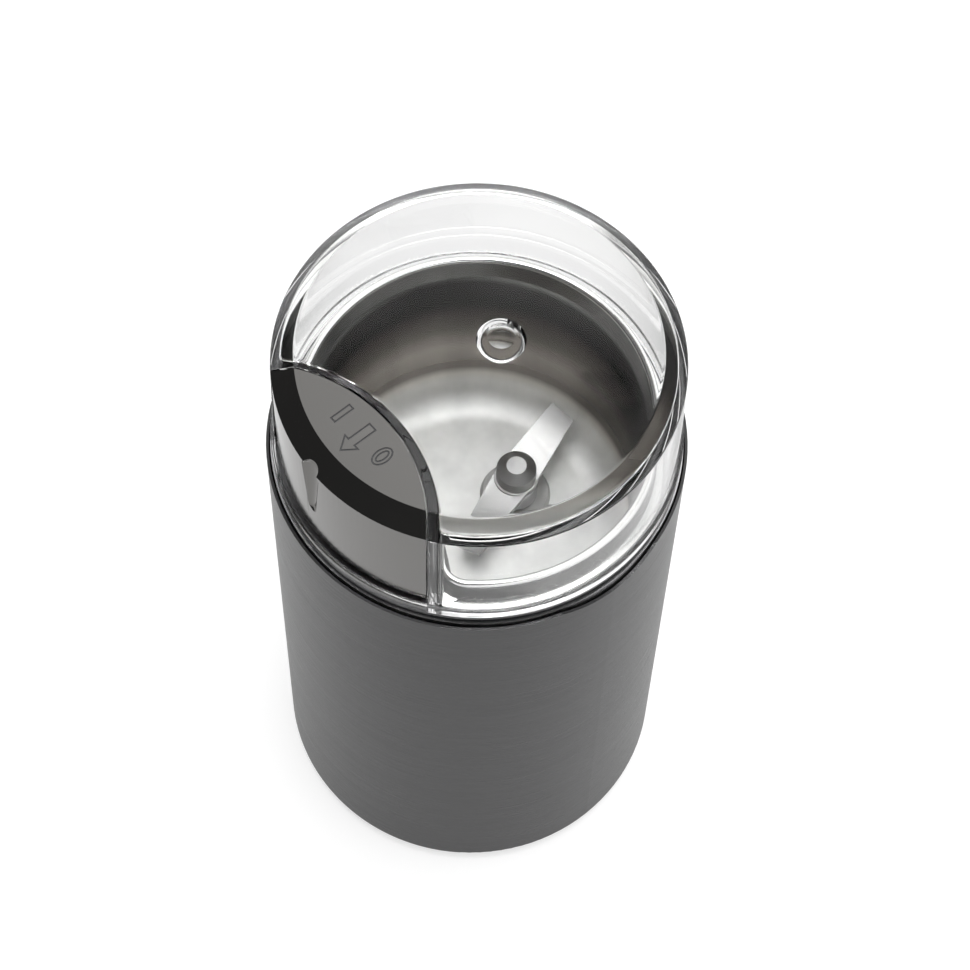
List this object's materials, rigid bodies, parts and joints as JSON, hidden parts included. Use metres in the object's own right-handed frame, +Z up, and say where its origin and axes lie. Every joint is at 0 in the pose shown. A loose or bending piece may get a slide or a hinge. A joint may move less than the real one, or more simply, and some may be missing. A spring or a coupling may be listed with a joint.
{
  "type": "electric spice grinder",
  "caption": "Electric spice and coffee grinder with a clear lift-off lid, a drawn steel bowl with a two-wing blade, and a press button that stands in a cut-out of the lid.",
  "frame": {"origin": "on the table under the feet, on the axis of the round body", "axes": "+Z up along the body's axis; the button faces -Y and the cable inlet +Y"},
  "size_m": [0.09, 0.0917, 0.174],
  "materials": {
    "brushed_sleeve": "satin, brushed round the body",
    "ring_metal": "satin",
    "housing_plastic": "satin",
    "base_plastic": "fine texture",
    "rubber": "matt",
    "screw_steel": "zinc plated",
    "bowl_steel": "drawn and polished",
    "blade_steel": "ground",
    "shaft_steel": "ground",
    "laminations": "stacked sheet",
    "copper": "lacquered wire",
    "brass": "plain",
    "fan_plastic": "plain",
    "bracket_metal": "cast",
    "bronze": "sintered",
    "carbon": "matt",
    "button_plastic": "gloss",
    "switch_plastic": "plain",
    "plunger_plastic": "plain",
    "capacitor_case": "plain",
    "clear_plastic": "clear gloss"
  },
  "bodies": {
    "housing": {"sleeve": "brushed_sleeve", "trim_ring": "ring_metal", "top_housing": "housing_plastic", "motor_housing": "housing_plastic", "base_cap": "base_plastic", "feet": "rubber", "base_screws": "screw_steel", "cable_inlet": "rubber", "bowl": "bowl_steel", "shaft_seal": "rubber", "stator_core": "laminations", "field_coils": "copper", "stator_screws": "screw_steel", "upper_bracket": "bracket_metal", "lower_bracket": "bracket_metal", "upper_bearing": "bronze", "lower_bearing": "bronze", "bearing_retainers": "screw_steel", "motor_grommets": "rubber", "mount_screws": "screw_steel", "brush_holders": "brass", "carbon_brushes": "carbon", "brush_springs": "screw_steel", "button_spring": "screw_steel", "switch_body": "switch_plastic", "switch_terminals": "brass", "capacitor": "capacitor_case"},
    "armature": {"blade": "blade_steel", "blade_nut": "blade_steel", "blade_bush": "shaft_steel", "motor_shaft": "shaft_steel", "armature_core": "laminations", "armature_windings": "copper", "commutator": "copper", "cooling_fan": "fan_plastic", "thrust_washers": "fan_plastic"},
    "button": {"press_button": "button_plastic", "stem_clip": "screw_steel"},
    "plunger": {"switch_plunger": "plunger_plastic"},
    "lid": {"lid": "clear_plastic"}
  },
  "joints": [
    {"name": "armature_spin", "type": "hinge", "parent": "housing", "child": "armature", "pos_m": [0, 0.012, 0.1], "axis": [0, 0, 1], "continuous": true},
    {"name": "button_press", "type": "slide", "parent": "housing", "child": "button", "axis": [0, 0, -1], "range_m": [0, 0.0035], "stiffness_N_per_m": 600, "springref_m": -0.002, "deforming": ["button_spring"]},
    {"name": "plunger_press", "type": "slide", "parent": "housing", "child": "plunger", "axis": [0, 0, -1], "range_m": [0, 0.0035]},
    {"name": "lid_lift", "type": "slide", "parent": "housing", "child": "lid", "axis": [0, 0, 1], "range_m": [0, 0.045]}
  ],
  "couplings": [
    {"joint": "plunger_press", "follows": "button_press", "ratio": 1}
  ]
}
